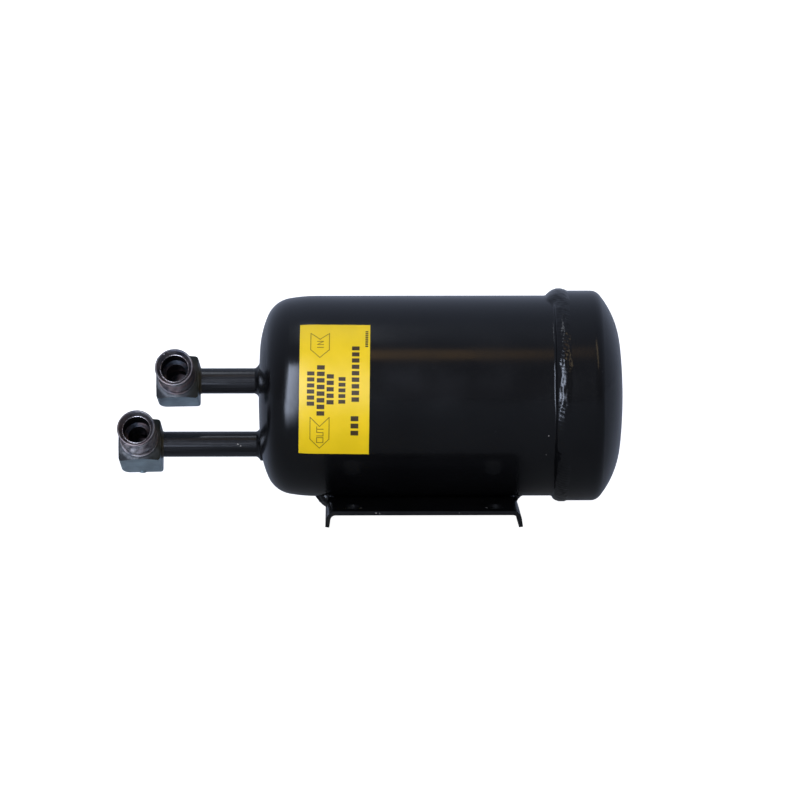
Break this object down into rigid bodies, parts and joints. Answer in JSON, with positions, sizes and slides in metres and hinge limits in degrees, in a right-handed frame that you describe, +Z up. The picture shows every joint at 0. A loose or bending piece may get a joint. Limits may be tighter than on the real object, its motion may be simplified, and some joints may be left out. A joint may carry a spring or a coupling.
{
  "type": "filter drier",
  "caption": "Welded steel receiver drier can on a slotted foot bracket, with tube ports ending in threaded elbow blocks.",
  "frame": {"origin": "centre of the foot's underside", "axes": "+X along the can towards its welded cap, +Z up, away from the foot"},
  "size_m": [0.2512, 0.115, 0.1119],
  "materials": {
    "gloss_black": "gloss black enamel",
    "worn_steel": "turned steel, dull and grey-brown with thin overspray",
    "braze": "dull, under thin paint",
    "label_paper": "satin yellow film",
    "bare_steel": "bright",
    "wire_mesh": "woven wire",
    "felt": "matt",
    "desiccant": "matt beads"
  },
  "bodies": {
    "root": {"shell": "gloss_black", "end_cap": "gloss_black", "cap_weld": "gloss_black", "mounting_foot": "gloss_black", "head_end_foot_weld": "gloss_black", "cap_end_foot_weld": "gloss_black", "inlet_tube": "gloss_black", "outlet_tube": "gloss_black", "inlet_head_braze": "gloss_black", "outlet_head_braze": "gloss_black", "inlet_fitting": "worn_steel", "outlet_fitting": "worn_steel", "inlet_fitting_braze": "braze", "outlet_fitting_braze": "braze", "label": "label_paper", "inlet_screen": "bare_steel", "outlet_screen": "bare_steel", "pack_spring": "bare_steel", "pickup_strainer": "wire_mesh", "inlet_felt": "felt", "outlet_felt": "felt", "desiccant_bed": "desiccant"}
  },
  "joints": []
}
